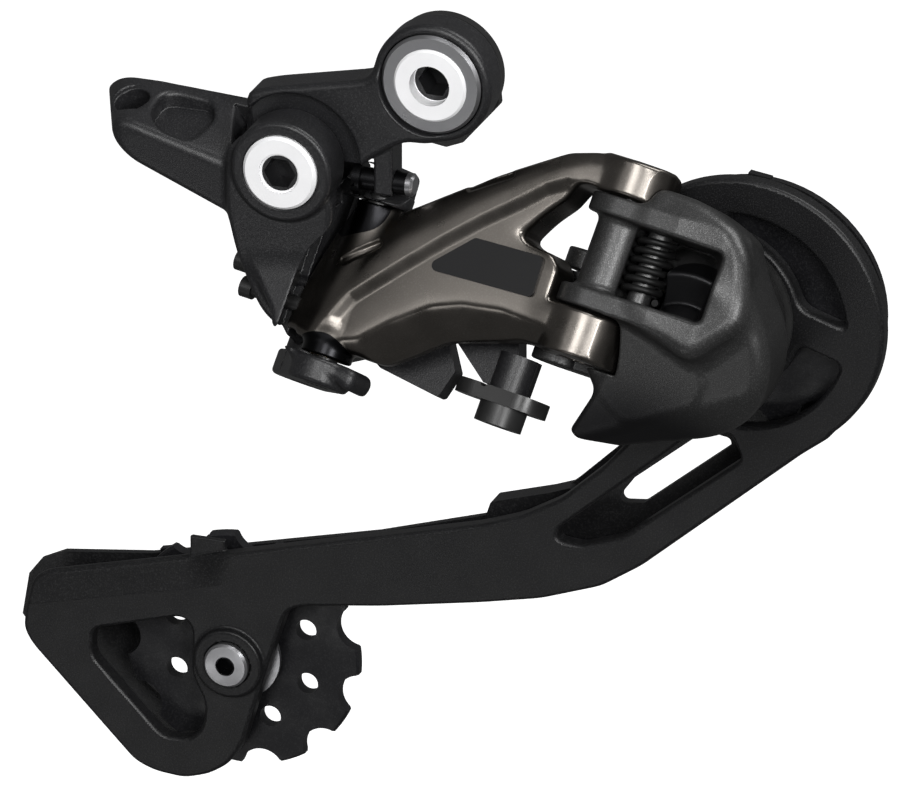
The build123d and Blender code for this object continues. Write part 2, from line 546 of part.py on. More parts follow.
@part("seal_ring")
def seal_ring():
    px, pz = P_AXLE
    return along_y(px, pz, P_REAR_R + 0.8, P_BACK + 0.1, P_BACK + 0.9) - along_y(px, pz, 9.5, P_BACK - 1, P_BACK + 2)


# ---------------------------------------------------------------- cage
def outer_outline():
    """The outer plate's outline in X-Z: round end, arm and the tail that carries the tension pulley."""
    rim = Pos(*RIM) * Circle(RIM_R)
    arm = polygon([(26.3, -71.6), (18.6, -78.7), (11.4, -82.9), (4.1, -85.6), (-43.0, -98.2), (-76.0, -106.6),
                   (-78.6, -108.4), (-79.9, -117.2), (-78.4, -120.0), (-59.4, -139.4), (-55.8, -140.8),
                   (-50.3, -141.3), (-45.8, -139.9), (-42.2, -137.5), (-39.5, -133.4), (-33.1, -112.1),
                   (-31.2, -106.8), (-28.0, -105.6), (-14.1, -103.6), (4.1, -100.2), (15.0, -97.8), (25.9, -93.9),
                   (33.1, -89.1), (67.1, -59.7), (58.0, -40.0), (34.0, -52.0), (32.6, -64.0)])
    return rim + arm


def outer_windows():
    rx, rz = RIM
    crescent = Pos(rx - 1.2, rz - 0.8) * Circle(19.4) - Pos(46.3, -40.2) * Circle(15.4)
    crescent -= Pos(rx - 12, rz) * Rectangle(18, 60)
    crescent -= Pos(65.0, -41.9) * Rot(0, 0, -18) * Rectangle(16, 6.4)
    tail = rounded([(-67.0, -115.6), (-50.6, -110.8), (-48.6, -112.6), (-48.9, -121.4), (-46.3, -126.4),
                    (-46.8, -131.2), (-49.4, -133.8), (-54.2, -133.9), (-67.2, -120.6)], 1.6)
    wrist = rounded([(18.0, -86.4), (22.3, -86.8), (29.5, -84.3), (33.1, -81.4), (51.3, -66.6), (49.4, -62.4),
                     (44.0, -61.6), (38.2, -66.9), (25.9, -77.6), (18.2, -84.2)], 0.8)
    return crescent + tail + wrist


@part("outer_plate")
def outer_plate():
    px, pz = P_AXLE
    gx, gz = GUIDE
    tx, tz = TENSION
    body = plate(outer_outline(), OUTER_FRONT, OUTER_BACK)
    body = chamfer(body.faces().sort_by(Axis.Y)[0].edges(), 0.8)
    body -= plate(outer_windows(), OUTER_FRONT - 1, OUTER_BACK + 1)
    body += along_y(tx, tz, 6.2, OUTER_FRONT - 1.3, OUTER_BACK)
    body -= along_y(tx, tz, PULLEY_HEAD_R + 0.15, OUTER_FRONT - 2.4, OUTER_FRONT + 0.6)
    body -= along_y(tx, tz, PULLEY_BOLT_R + FIT_CLEAR, 0, OUTER_BACK + 1)
    body -= along_y(gx, gz, PULLEY_BOLT_R + FIT_CLEAR, OUTER_FRONT + 0.4, OUTER_BACK + 1)
    body -= along_y(px, pz, P_SPIGOT_R + FIT_CLEAR, OUTER_FRONT - 1, OUTER_BACK + 1)
    body -= along_y(*STOP_PIN, STOP_PIN_R + FIT_CLEAR, OUTER_FRONT - 1, OUTER_BACK + 1)
    tab = Pos(-46.4, OUTER_BACK - 0.6, -99.0) * Box(6.4, 1.2, 5.4)
    return body + tab


@part("inner_plate")
def inner_plate():
    gx, gz = GUIDE
    tx, tz = TENSION
    outline = Pos(gx - 1.6, gz - 1.2) * Circle(22.6) + Pos(tx, tz) * Circle(7.5)
    outline += polygon([(27.6, -70.0), (18.0, -79.3), (13.5, -83.1), (1.7, -88.4), (-18.3, -94.6), (-43.7, -100.9),
                        (-60.0, -104.7), (-76.3, -106.8), (-80.6, -108.9), (-82.8, -111.8), (-84.1, -119.6),
                        (-80.0, -124.6), (-62.0, -139.0), (-54.0, -140.6), (-47.0, -138.2), (-42.0, -131.0),
                        (-33.6, -108.8), (-20.0, -105.0), (4.1, -99.4), (24.0, -93.0), (62.0, -61.0), (40.0, -50.0)])
    body = plate(outline, INNER_FRONT, INNER_BACK)
    body = chamfer(body.faces().sort_by(Axis.Y)[-1].edges(), 0.4)
    ring = Pos(gx, gz) * (Circle(18.4) - Circle(8.2) - Rectangle(60, 5) - Rot(0, 0, 70) * Rectangle(60, 5))
    tail = rounded([(-61.5, -111.0), (-52.0, -108.5), (-50.0, -110.5), (-50.5, -122.0), (-48.0, -128.0),
                    (-50.5, -133.6), (-55.0, -134.0), (-61.5, -129.0)], 1.6)
    wrist = rounded([(24.6, -82.6), (28.2, -77.6), (41.0, -67.0), (47.0, -68.0), (30.0, -82.0)], 1.0)
    slot = Pos(-3.0, -93.4) * Rot(0, 0, 15.5) * SlotOverall(30, 4.4)
    body -= plate(ring + tail + wrist + slot, INNER_FRONT - 1, INNER_BACK + 1)
    for x, z, turn, width in INNER_TABS:
        body += Pos(x, INNER_FRONT + 0.75, z) * Rot(0, -turn, 0) * Box(width, 1.5, 3.0)
    guard = rounded([(1.0, -91.0), (3.0, -84.8), (13.5, -81.6), (19.0, -79.5), (16.0, -84.5)], 0.7)
    body += plate(guard, INNER_FRONT - 2.5, INNER_BACK)
    for x, z in (GUIDE, TENSION):
        body -= along_y(x, z, PULLEY_BOLT_R + FIT_CLEAR, INNER_FRONT - 1, INNER_BACK + 1)
    return body


@part("p_axle")
def p_axle():
    px, pz = P_AXLE
    axle = along_y(px, pz, P_AXLE_R, P_FRONT + 3.2, OUTER_FRONT)
    axle += along_y(px, pz, 7.0, P_BACK - 0.8, OUTER_FRONT)
    return axle + along_y(px, pz, P_SPIGOT_R, OUTER_FRONT, OUTER_BACK)


@part("cage_stop_pin")
def cage_stop_pin():
    return along_y(*STOP_PIN, STOP_PIN_R, -3.0, OUTER_BACK)


@part("guide_pulley_bolt")
def guide_pulley_bolt():
    x, z = GUIDE
    body = along_y(x, z, PULLEY_BOLT_R, OUTER_FRONT + 0.6, INNER_BACK)
    body += along_y(x, z, PULLEY_HEAD_R, INNER_BACK, INNER_BACK + 1.8)
    return body - hex_along_y(x, z, 3.0, INNER_BACK - 0.8, INNER_BACK + 2)


@part("tension_pulley_bolt")
def tension_pulley_bolt():
    x, z = TENSION
    body = along_y(x, z, PULLEY_BOLT_R, OUTER_FRONT + 0.6, INNER_BACK)
    head = along_y(x, z, PULLEY_HEAD_R, OUTER_FRONT - 2.3, OUTER_FRONT + 0.6)
    head = chamfer(head.edges().group_by(Axis.Y)[0], 0.4)
    return body + head - hex_along_y(x, z, 3.0, OUTER_FRONT - 3, OUTER_FRONT + 0.2)


def pulley_bushing(x, z):
    return (along_y(x, z, BUSH_R, OUTER_BACK, INNER_FRONT)
            - along_y(x, z, PULLEY_BOLT_R + FIT_CLEAR, OUTER_BACK - 1, INNER_FRONT + 1))


def pulley_caps(x, z):
    """Dished cover on each side of a pulley."""
    caps = []
    for near, far in ((OUTER_BACK + 0.15, OUTER_BACK + 0.95), (INNER_FRONT - 0.95, INNER_FRONT - 0.15)):
        caps.append(along_y(x, z, CAP_R, near, far) - along_y(x, z, BUSH_R + FIT_CLEAR, near - 1, far + 1))
    return Compound(caps)


def pulley(x, z, phase, holes):
    """Toothed jockey wheel, with lightening holes if it has any."""
    pitch_r = CHAIN_PITCH / (2 * sin(pi / PULLEY_TEETH))
    disc = along_y(x, z, PULLEY_TIP_R, PULLEY_Y - 1.15, PULLEY_Y + 1.15)
    disc = chamfer(disc.edges(), 0.45)
    for i in range(PULLEY_TEETH):
        angle = radians(phase + 360 * i / PULLEY_TEETH)
        disc -= along_y(x + pitch_r * cos(angle), z + pitch_r * sin(angle), ROLLER_R, 0, 20)
    for i in range(holes):
        angle = radians(24 + 360 * i / holes)
        disc -= along_y(x + 13.0 * cos(angle), z + 13.0 * sin(angle), 1.9, 0, 20)
    hub = along_y(x, z, 7.2, OUTER_BACK + 1.15, INNER_FRONT - 1.15)
    return disc + hub - along_y(x, z, BUSH_R + RUN_CLEAR, 0, 20)


@part("guide_bushing")
def guide_bushing():
    return pulley_bushing(*GUIDE)


@part("tension_bushing")
def tension_bushing():
    return pulley_bushing(*TENSION)


@part("guide_pulley_caps")
def guide_pulley_caps():
    return pulley_caps(*GUIDE)


@part("tension_pulley_caps")
def tension_pulley_caps():
    return pulley_caps(*TENSION)


@part("guide_pulley")
def guide_pulley():
    return pulley(*GUIDE, 4, 0)


@part("tension_pulley")
def tension_pulley():
    return pulley(*TENSION, -15, 8)


def save_all():
    os.makedirs("parts", exist_ok=True)
    for name, make in PARTS.items():
        solid = make()
        solid.label = name
        export_step(solid, f"parts/{name}.step")


save_all()
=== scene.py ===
import bpy
import json
import numpy as np
from math import cos, radians, sin
from mathutils import Matrix, Vector


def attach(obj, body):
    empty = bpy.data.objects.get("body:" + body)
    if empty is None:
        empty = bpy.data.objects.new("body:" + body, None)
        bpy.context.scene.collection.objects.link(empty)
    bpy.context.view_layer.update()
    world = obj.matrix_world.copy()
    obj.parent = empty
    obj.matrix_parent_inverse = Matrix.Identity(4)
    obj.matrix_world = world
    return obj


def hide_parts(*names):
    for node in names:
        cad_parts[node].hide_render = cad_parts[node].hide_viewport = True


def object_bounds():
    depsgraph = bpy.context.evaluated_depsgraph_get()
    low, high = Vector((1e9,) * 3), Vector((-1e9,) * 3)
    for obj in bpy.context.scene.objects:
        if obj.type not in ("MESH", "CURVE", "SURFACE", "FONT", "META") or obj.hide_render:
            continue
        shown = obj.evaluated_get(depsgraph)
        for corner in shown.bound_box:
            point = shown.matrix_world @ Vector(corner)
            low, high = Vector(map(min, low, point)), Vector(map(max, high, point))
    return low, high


# Looks of a rear bicycle derailleur. Five large pieces are sculpted as solid fields and meshed here;
# the others are the CAD nodes with procedural materials.
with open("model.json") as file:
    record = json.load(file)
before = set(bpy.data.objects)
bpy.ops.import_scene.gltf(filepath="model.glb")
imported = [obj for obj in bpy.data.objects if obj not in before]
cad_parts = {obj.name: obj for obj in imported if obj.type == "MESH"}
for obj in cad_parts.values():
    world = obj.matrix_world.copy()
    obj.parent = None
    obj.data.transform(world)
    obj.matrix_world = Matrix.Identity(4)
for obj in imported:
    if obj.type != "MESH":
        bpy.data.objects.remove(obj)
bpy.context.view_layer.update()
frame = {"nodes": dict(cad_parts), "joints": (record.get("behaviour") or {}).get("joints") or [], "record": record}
JOINTS = {joint["name"]: joint for joint in frame["joints"]}

# Sculpting works in millimetres; meshes are written in metres.
MM = 0.001
VOXEL = 0.3


def pivot(joint):
    """A joint's point in millimetres."""
    return np.array(JOINTS[joint]["pos_m"]) / MM


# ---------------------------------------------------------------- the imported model's axes
B_AXLE = pivot("b_pivot")
P_AXLE = pivot("cage_pivot")
GUIDE = pivot("guide_spin")
TENSION = pivot("tension_spin")
REAR_PIN = pivot("shift")
FRONT_PIN = pivot("p_knuckle_turn")
PIN_DIR = np.array(JOINTS["shift"]["axis"])
PIN_DIR /= np.linalg.norm(PIN_DIR)
SPAN = FRONT_PIN - REAR_PIN
RISE = SPAN @ PIN_DIR
LINK_LEN = np.linalg.norm(SPAN - RISE * PIN_DIR)
LINK_DIR = (SPAN - RISE * PIN_DIR) / LINK_LEN
LINK_IN = np.cross(PIN_DIR, LINK_DIR)
# link frame: x along the links, y inboard, z along the pins, origin on the rear outer pin
LINK_AXES = np.column_stack([LINK_DIR, LINK_IN, PIN_DIR])
# the inner link's pins stand this far from the outer link's
INNER_DX = (pivot("inner_link_turn") - REAR_PIN) @ LINK_DIR
INNER_DY = (pivot("inner_link_turn") - REAR_PIN) @ LINK_IN

PIN_HOLE_R = 2.25            # holes that hold the links' pins
BUSH_HOLE_R = 3.02           # holes that hold the pins' bushings


def link_coordinates(x, y, z):
    """Link-frame coordinates of a point in the row frame."""
    dx, dy, dz = x - REAR_PIN[0], y - REAR_PIN[1], z - REAR_PIN[2]
    return [dx * axis[0] + dy * axis[1] + dz * axis[2] for axis in (LINK_DIR, LINK_IN, PIN_DIR)]


def from_link(points):
    """Row-frame places of link-frame points, one per row."""
    return REAR_PIN + points @ LINK_AXES.T


# ---------------------------------------------------------------- solid fields
# A field is a signed distance in millimetres, negative inside.
def join(a, b, k=0.0):
    """Union with a fillet about k wide."""
    if k <= 0:
        return np.minimum(a, b)
    h = np.maximum(k - np.abs(a - b), 0.0)
    return np.minimum(a, b) - h * h / (4 * k)


def common(a, b, k=0.0):
    """What both solids share, the new edge rounded by about k."""
    return -join(-a, -b, k)


def cut(a, b, k=0.0):
    """The first solid without the second, the new edge rounded by about k."""
    return -join(-a, b, k)


def bored(body, hole):
    """The first solid without the second, the new edge left sharp."""
    return np.maximum(body, -hole)


def slab(flat, across, low, high, edge):
    """A flat outline's field made thick between low and high, its rims rounded by edge."""
    rim = flat + edge
    side = np.abs(across - (low + high) / 2) - (high - low) / 2 + edge
    outside = np.hypot(np.maximum(rim, 0), np.maximum(side, 0))
    return np.minimum(np.maximum(rim, side), 0) + outside - edge


def disc(u, v, centre, radius):
    """Field of a round outline; with radius 0, the distance from its centre."""
    return np.hypot(u - centre[0], v - centre[1]) - radius


def stadium(u, v, a, b, radius):
    """Field of all points within radius of the segment a-b."""
    run, rise = b[0] - a[0], b[1] - a[1]
    t = np.clip(((u - a[0]) * run + (v - a[1]) * rise) / (run * run + rise * rise), 0, 1)
    return np.hypot(u - a[0] - run * t, v - a[1] - rise * t) - radius


def outline(u, v, points):
    """Field of a closed polygon."""
    nearest, inside = None, None
    for (au, av), (bu, bv) in zip(points, points[1:] + points[:1]):
        run, rise = bu - au, bv - av
        t = np.clip(((u - au) * run + (v - av) * rise) / (run * run + rise * rise), 0, 1)
        gap = (u - au - run * t) ** 2 + (v - av - rise * t) ** 2
        nearest = gap if nearest is None else np.minimum(nearest, gap)
        if av != bv:
            crossed = ((v >= av) != (v >= bv)) & (u < au + (v - av) * run / rise)
            inside = crossed if inside is None else inside ^ crossed
    return np.where(inside, -1.0, 1.0) * np.sqrt(nearest)


def soft(points, radius):
    """The polygon with each corner turned into a short curve."""
    result = []
    for before, corner, after in zip(points[-1:] + points[:-1], points, points[1:] + points[:1]):
        corner = np.array(corner)
        ends = []
        for other in (before, after):
            arm = np.array(other) - corner
            length = np.linalg.norm(arm)
            ends.append(corner + arm * min(radius / length, 0.45))
        for t in (0, 0.25, 0.5, 0.75, 1):
            point = (1 - t) ** 2 * ends[0] + 2 * t * (1 - t) * corner + t * t * ends[1]
            result.append((float(point[0]), float(point[1])))
    return result


def ramp(value, low, high):
    """0 below low, 1 above high, smooth between."""
    t = np.clip((value - low) / (high - low), 0, 1)
    return t * t * (3 - 2 * t)


def softplus(value, k):
    """max(value, 0) with a bend about k wide."""
    return 0.5 * (value + np.sqrt(value * value + k * k))


# ---------------------------------------------------------------- meshing
CORNERS = [(i, j, k) for i in (0, 1) for j in (0, 1) for k in (0, 1)]


def surface_net(field, low, high, step):
    """Quads over a field's zero surface: one vertex in each grid cell that the surface crosses."""
    axes = [np.arange(a, b + step, step, dtype=np.float32) for a, b in zip(low, high)]
    x, y, z = np.meshgrid(*axes, indexing="ij", sparse=True)
    value = np.array(np.broadcast_to(field(x, y, z), [len(a) for a in axes]), dtype=np.float32)
    value[[0, -1]] = value[:, [0, -1]] = value[:, :, [0, -1]] = 1e-3
    inside = value < 0
    cells = [n - 1 for n in value.shape]
    count = np.zeros(cells, np.uint8)
    for i, j, k in CORNERS:
        count += inside[i:i + cells[0], j:j + cells[1], k:k + cells[2]]
    crossed = (count > 0) & (count < 8)
    number = np.full(cells, -1, np.int32)
    number[crossed] = np.arange(crossed.sum())
    cell = np.argwhere(crossed)
    total = np.zeros((len(cell), 3))
    hits = np.zeros(len(cell))
    for axis in range(3):
        for corner in CORNERS:
            if corner[axis]:
                continue
            start = cell + corner
            end = start.copy()
            end[:, axis] += 1
            a, b = value[tuple(start.T)], value[tuple(end.T)]
            hit = (a < 0) != (b < 0)
            t = np.where(hit, a / np.where(hit, a - b, 1), 0)
            point = np.array(corner, float) + np.zeros((len(cell), 3))
            point[:, axis] += t
            total += point * hit[:, None]
            hits += hit
    points = np.array(low) + step * (cell + total / hits[:, None])
    quads = []
    for axis in range(3):
        others = [a for a in range(3) if a != axis]
        first = np.take(inside, range(cells[axis]), axis)
        second = np.take(inside, range(1, cells[axis] + 1), axis)
        for changed, order in ((first & ~second, 1), (~first & second, -1)):
            edge = np.argwhere(changed)
            keep = np.all((edge[:, others] > 0) & (edge[:, others] < np.array(cells)[others]), axis=1)
            edge = edge[keep]
            ring = []
            for du, dv in ((0, 0), (-1, 0), (-1, -1), (0, -1)):
                spot = edge.copy()
                spot[:, others[0]] += du
                spot[:, others[1]] += dv
                ring.append(number[tuple(spot.T)])
            if axis == 1:
                order = -order
            quads.append(np.column_stack(ring[::order]))
    return points, np.vstack(quads)


def slope(field, points, h=0.03):
    """A field's gradient at each point, by differences over h either side."""
    parts = []
    for axis in range(3):
        ahead, behind = points.copy(), points.copy()
        ahead[:, axis] += h
        behind[:, axis] -= h
        parts.append((field(*ahead.T) - field(*behind.T)) / (2 * h))
    return np.column_stack(parts)


def sculpt(name, field, low, high, step, body, nodes, material, in_link=False):
    """Mesh of a field that stands for CAD nodes and rides on their body."""
    points, quads = surface_net(field, low, high, step)
    for _ in range(3):
        gradient = slope(field, points)
        size = np.maximum((gradient ** 2).sum(1), 0.05)
        move = -(field(*points.T) / size)[:, None] * gradient
        length = np.maximum(np.linalg.norm(move, axis=1, keepdims=True), 1e-9)
        points = points + move * np.minimum(1, 0.4 * step / length)
    normals = slope(field, points)
    normals /= np.maximum(np.linalg.norm(normals, axis=1, keepdims=True), 1e-9)
    if in_link:
        points, normals = from_link(points), normals @ LINK_AXES.T
    mesh = bpy.data.meshes.new(name)
    mesh.from_pydata(points * MM, [], quads.tolist())
    mesh.shade_smooth()
    mesh.normals_split_custom_set_from_vertices(normals.tolist())
    mesh.materials.append(material)
    piece = bpy.data.objects.new(name, mesh)
    bpy.context.scene.collection.objects.link(piece)
    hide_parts(*nodes)
    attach(piece, body)


# ---------------------------------------------------------------- materials
def material(name, colour, roughness, metallic=0.0, vary=0.25, grain=0.0, grain_size=0.25, rough_vary=0.08,
             bump=0.02, specular=0.5):
    """Principled surface with mottled colour and roughness, a fine grain and a slight bump."""
    made = bpy.data.materials.new(name)
    made.use_nodes = True
    tree = made.node_tree
    surface = tree.nodes["Principled BSDF"]
    surface.inputs["Metallic"].default_value = metallic
    surface.inputs["Specular IOR Level"].default_value = specular
    place = tree.nodes.new("ShaderNodeTexCoord")

    def noise(size_mm, detail):
        node = tree.nodes.new("ShaderNodeTexNoise")
        node.inputs["Scale"].default_value = 1 / (size_mm * MM)
        node.inputs["Detail"].default_value = detail
        tree.links.new(place.outputs["Object"], node.inputs["Vector"])
        return node

    def remap(source, low, high, to_low, to_high):
        node = tree.nodes.new("ShaderNodeMapRange")
        limits = (("From Min", low), ("From Max", high), ("To Min", to_low), ("To Max", to_high))
        for label, value in limits:
            node.inputs[label].default_value = value
        tree.links.new(source, node.inputs["Value"])
        return node.outputs["Result"]

    broad, fine = noise(6.0, 3.0), noise(grain_size, 2.0)
    tint = tree.nodes.new("ShaderNodeMix")
    tint.data_type = "RGBA"
    tint.inputs["A"].default_value = [c * (1 - vary) for c in colour] + [1]
    tint.inputs["B"].default_value = [min(1, c * (1 + vary)) for c in colour] + [1]
    tree.links.new(remap(broad.outputs["Fac"], 0.3, 0.7, 0, 1), tint.inputs["Factor"])
    fleck = tree.nodes.new("ShaderNodeMix")
    fleck.data_type = "RGBA"
    fleck.inputs["B"].default_value = [min(1, c * 2.2 + 0.05) for c in colour] + [1]
    tree.links.new(tint.outputs["Result"], fleck.inputs["A"])
    tree.links.new(remap(fine.outputs["Fac"], 0.5, 0.75, 0, grain), fleck.inputs["Factor"])
    tree.links.new(fleck.outputs["Result"], surface.inputs["Base Color"])
    tree.links.new(remap(broad.outputs["Fac"], 0.3, 0.7, roughness - rough_vary, roughness + rough_vary),
                   surface.inputs["Roughness"])
    relief = tree.nodes.new("ShaderNodeBump")
    relief.inputs["Strength"].default_value = 1.0
    relief.inputs["Distance"].default_value = bump * MM
    tree.links.new(fine.outputs["Fac"], relief.inputs["Height"])
    tree.links.new(relief.outputs["Normal"], surface.inputs["Normal"])
    return made


def darken(made, centre, radius, axes=(1, 0, 1), fade=0.02):
    """Black within radius of a point, in millimetres; an axis with 0 doesn't count in the distance."""
    tree = made.node_tree
    surface = tree.nodes["Principled BSDF"]
    place = tree.nodes.new("ShaderNodeTexCoord")
    flat = tree.nodes.new("ShaderNodeVectorMath")
    flat.operation = "MULTIPLY"
    flat.inputs[1].default_value = [a / MM for a in axes]
    tree.links.new(place.outputs["Object"], flat.inputs[0])
    reach = tree.nodes.new("ShaderNodeVectorMath")
    reach.operation = "DISTANCE"
    reach.inputs[1].default_value = [a * c for a, c in zip(axes, centre)]
    tree.links.new(flat.outputs[0], reach.inputs[0])
    inside = tree.nodes.new("ShaderNodeMapRange")
    inside.interpolation_type = "SMOOTHSTEP"
    for label, value in (("From Min", radius), ("From Max", radius + fade), ("To Min", 1), ("To Max", 0)):
        inside.inputs[label].default_value = value
    tree.links.new(reach.outputs["Value"], inside.inputs["Value"])
    mix = tree.nodes.new("ShaderNodeMix")
    mix.data_type = "RGBA"
    mix.inputs["B"].default_value = (0.012, 0.012, 0.013, 1)
    tree.links.new(inside.outputs[0], mix.inputs["Factor"])
    tree.links.new(surface.inputs["Base Color"].links[0].from_socket, mix.inputs["A"])
    tree.links.new(mix.outputs["Result"], surface.inputs["Base Color"])
    return made


MATERIALS = {
    "black_grain_paint": material("black_grain_paint", (0.010, 0.010, 0.011), 0.38, vary=0.1,
                                  rough_vary=0.025, grain=0.35, bump=0.04, specular=0.4),
    "cage_paint": material("cage_paint", (0.006, 0.006, 0.0065), 0.40, vary=0.1, rough_vary=0.02,
                           grain=0.3, bump=0.03, specular=0.3),
    "gunmetal_link": material("gunmetal_link", (0.15, 0.138, 0.125), 0.30, metallic=1.0, vary=0.06,
                              grain=0.15, rough_vary=0.04, bump=0.004),
    "badge_inlay": material("badge_inlay", (0.004, 0.004, 0.0045), 0.45, vary=0.1, rough_vary=0.03,
                            bump=0.004, specular=0.25),
    "bright_steel": material("bright_steel", (0.90, 0.90, 0.91), 0.38, metallic=0.1, vary=0.04, bump=0.006),
    "grey_steel": material("grey_steel", (0.30, 0.30, 0.31), 0.35, metallic=0.9, vary=0.1, bump=0.01),
    "black_steel": material("black_steel", (0.02, 0.02, 0.02), 0.35, metallic=0.3, bump=0.01),
    "bushing_bronze": material("bushing_bronze", (0.45, 0.33, 0.18), 0.35, metallic=1.0, bump=0.01),
    "spring_black": material("spring_black", (0.004, 0.004, 0.004), 0.5, bump=0.01, specular=0.25),
    "black_plastic": material("black_plastic", (0.02, 0.02, 0.02), 0.5, bump=0.02),
    "seal_rubber": material("seal_rubber", (0.015, 0.015, 0.015), 0.65, bump=0.03),
    "pulley_plastic": material("pulley_plastic", (0.006, 0.006, 0.007), 0.42, bump=0.02, grain=0.2,
                               specular=0.3),
}


# painted shade: black on the link's rear barrel, in the P-knuckle's open room, and fading in towards the knuckle's
# foot
LINK_METAL_AND_SHADE = MATERIALS["gunmetal_link"].copy()
for spot, radius in (((-1.5, 1.0, 11.5), 6.5), ((0.0, -1.5, -14.6), 5.2)):
    darken(LINK_METAL_AND_SHADE, from_link(np.array(spot)), radius, (1, 1, 1))
KNUCKLE_PAINT_AND_SHADE = material("knuckle_paint_and_shade", (0.052, 0.052, 0.052), 0.40, metallic=0.75, vary=0.08, grain=0.6,
                         grain_size=0.2, rough_vary=0.02, bump=0.03)
# painted shade: black in the P-knuckle's spring room, and fading in towards its foot
darken(KNUCKLE_PAINT_AND_SHADE, (47.8, -10.0, -31.4), 6.0, (1, 1, 1))
darken(KNUCKLE_PAINT_AND_SHADE, (38.0, 0.0, -66.0), 13.0, fade=13.0)


# ---------------------------------------------------------------- the outer link
EAR_R = 6.6                  # round ends at the front, above and below the P-knuckle
OUTER_FRONT = [(-8.6, -11.4), (1.5, -11.4), (5.9, -9.9), (10.9, -5.2), (17.0, -0.7), (22.2, 1.4),
               (29.5, 2.6), (37.4, 2.3), (43.6, 0.4), (49.8, -1.0), (49.8, 6.8), (37.0, 6.8),
               (36.9, 12.4), (34.8, 14.4), (30.0, 14.6), (27.8, 16.0), (30.2, 19.2), (33.6, 23.4),
               (35.0, 26.6), (36.4, 27.5), (49.8, 27.5), (49.8, 33.6), (44.0, 33.7), (37.0, 33.3),
               (31.6, 31.6), (20.0, 23.8), (8.2, 15.0), (5.6, 13.2), (-4.2, 12.9), (-6.2, 7.0),
               (-7.6, 0.5), (-8.4, -5.0)]
# inside the first outline the outboard face is flat, and inside the second a panel is sunk in it
STRAP_CREST = [(-3.0, -11.6), (1.6, -1.9), (4.1, 3.4), (7.8, 8.6), (13.5, 14.0), (19.2, 19.2),
               (25.2, 24.2), (31.3, 28.7), (36.0, 31.0), (43.0, 32.2), (70.0, 32.4), (70.0, -30.0),
               (-3.0, -30.0)]
PANEL_EDGE = [(-2.3, -11.6), (1.9, -2.6), (9.4, 5.6), (14.8, 11.3), (20.4, 16.8), (26.3, 22.1),
              (29.6, 25.4), (33.0, 27.6), (38.0, 28.0), (60.0, 28.0), (60.0, -30.0), (-2.3, -30.0)]
BADGE = [(13.6, 5.2), (21.0, 12.8), (34.0, 13.4), (34.4, 6.2)]
SLOTS = (((-1.2, 2.2), (4.0, 6.6)), ((16.6, 20.6), (23.0, 24.8)))    # shallow grooves above the crest
LINK_FACE, PANEL_DROP, BADGE_DROP = -6.4, 0.9, 1.05      # the face's depth, and how far each is sunk


def outer_link_face(x, z):
    """Depth of the link's outboard face: a flat strap, bevelled above and behind, over a sunk panel."""
    crest = outline(x, z, STRAP_CREST)
    face = LINK_FACE + 0.45 * softplus(crest, 0.8) + (x - 24.0) ** 2 / 420.0
    face = face + 1.1 * softplus(outline(x, z, soft(OUTER_FRONT, 1.0)), 0.6)
    panel = outline(x, z, PANEL_EDGE)
    drop = ramp(-panel, 0.0, 2.6) * (1 - ramp(x, 32.0, 41.0))
    face = face + PANEL_DROP * drop
    for a, b in SLOTS:
        face = face + 0.9 * ramp(-stadium(x, z, a, b, 0.7), -0.3, 0.4)
    badge = outline(x, z, soft(BADGE, 1.0))
    face = np.where(badge < -0.8, LINK_FACE + BADGE_DROP, face)
    round_end = -np.sqrt(np.maximum(EAR_R ** 2 - np.maximum(x - LINK_LEN, 0) ** 2, 0.01))
    return np.maximum(face, round_end + 0.15)


def outer_link(x, y, z):
    """The link in its own frame: strap and panel over a hollow back, two front ears, a rear barrel."""
    rear = [(-6.4, -12.2), (10.5, -12.4), (20.0, -5.0), (33.0, -1.0), (49.0, -1.0), (49.0, 6.8),
            (36.8, 6.8), (34.6, 13.6), (28.4, 15.4), (34.0, 26.4), (35.6, 27.5), (44.0, 27.5),
            (44.0, 32.6), (32.0, 31.0), (7.9, 12.8), (-5.6, 2.0)]
    shape = join(outline(x, z, soft(OUTER_FRONT, 1.0)), outline(x, z, soft(rear, 1.5)), 0.5)
    body = common(slab(shape, y, -9.0, 3.4, 0.7), 0.7 * (outer_link_face(x, z) - y), 0.7)
    hollow = [(9.0, -6.0), (20.0, -1.0), (32.0, 2.0), (32.0, 11.5), (24.0, 14.0), (28.0, 23.0),
              (9.0, 9.5)]
    body = cut(body, slab(outline(x, z, soft(hollow, 2.0)), y, -1.8, 6.0, 1.0), 0.8)
    ear = disc(x, y, (LINK_LEN, 0), EAR_R)
    body = join(body, slab(ear, z, -1.0, 6.8, 0.5), 1.0)
    top_ear = np.maximum(ear, join(y, disc(x, y, (LINK_LEN, 0), 5.2)))
    body = join(body, slab(top_ear, z, 27.5, 33.6, 0.6), 1.0)
    body = common(body, 0.7 * (y + z - 35.6), 0.4)
    body = join(body, slab(disc(x, y, (0, 0), 4.5), z, -14.3, -8.0, 0.4), 1.0)
    body = join(body, slab(disc(x, y, (0, 0), 3.8), z, -9.0, 13.0, 0.2), 2.0)
    body = bored(body, disc(x, y, (0, 0), BUSH_HOLE_R))
    return bored(body, np.maximum(disc(x, y, (LINK_LEN, 0), BUSH_HOLE_R), z - 32.2))


def make_outer_link():
    sculpt("outer_link_sculpt", outer_link, (-10, -8, -15.5), (51.5, 6.5, 35), VOXEL, "outer_link",
           ["outer_link"], LINK_METAL_AND_SHADE, in_link=True)


# ---------------------------------------------------------------- the P-knuckle
P_FRONT, P_BACK = -17.0, 3.3             # Y of the knuckle's round ends
P_FRONT_R, P_REAR_R = 16.8, 13.6
FLANGES = ((7.3, 11.0), (23.4, 27.1))    # heights of the flanges on the front outer pin
INNER_LUGS = ((-2.6, 1.2), (13.8, 17.4))     # and of the lugs on the front inner pin
RETURN_POST = (LINK_LEN + 7.0, 0.4)      # the return spring's post


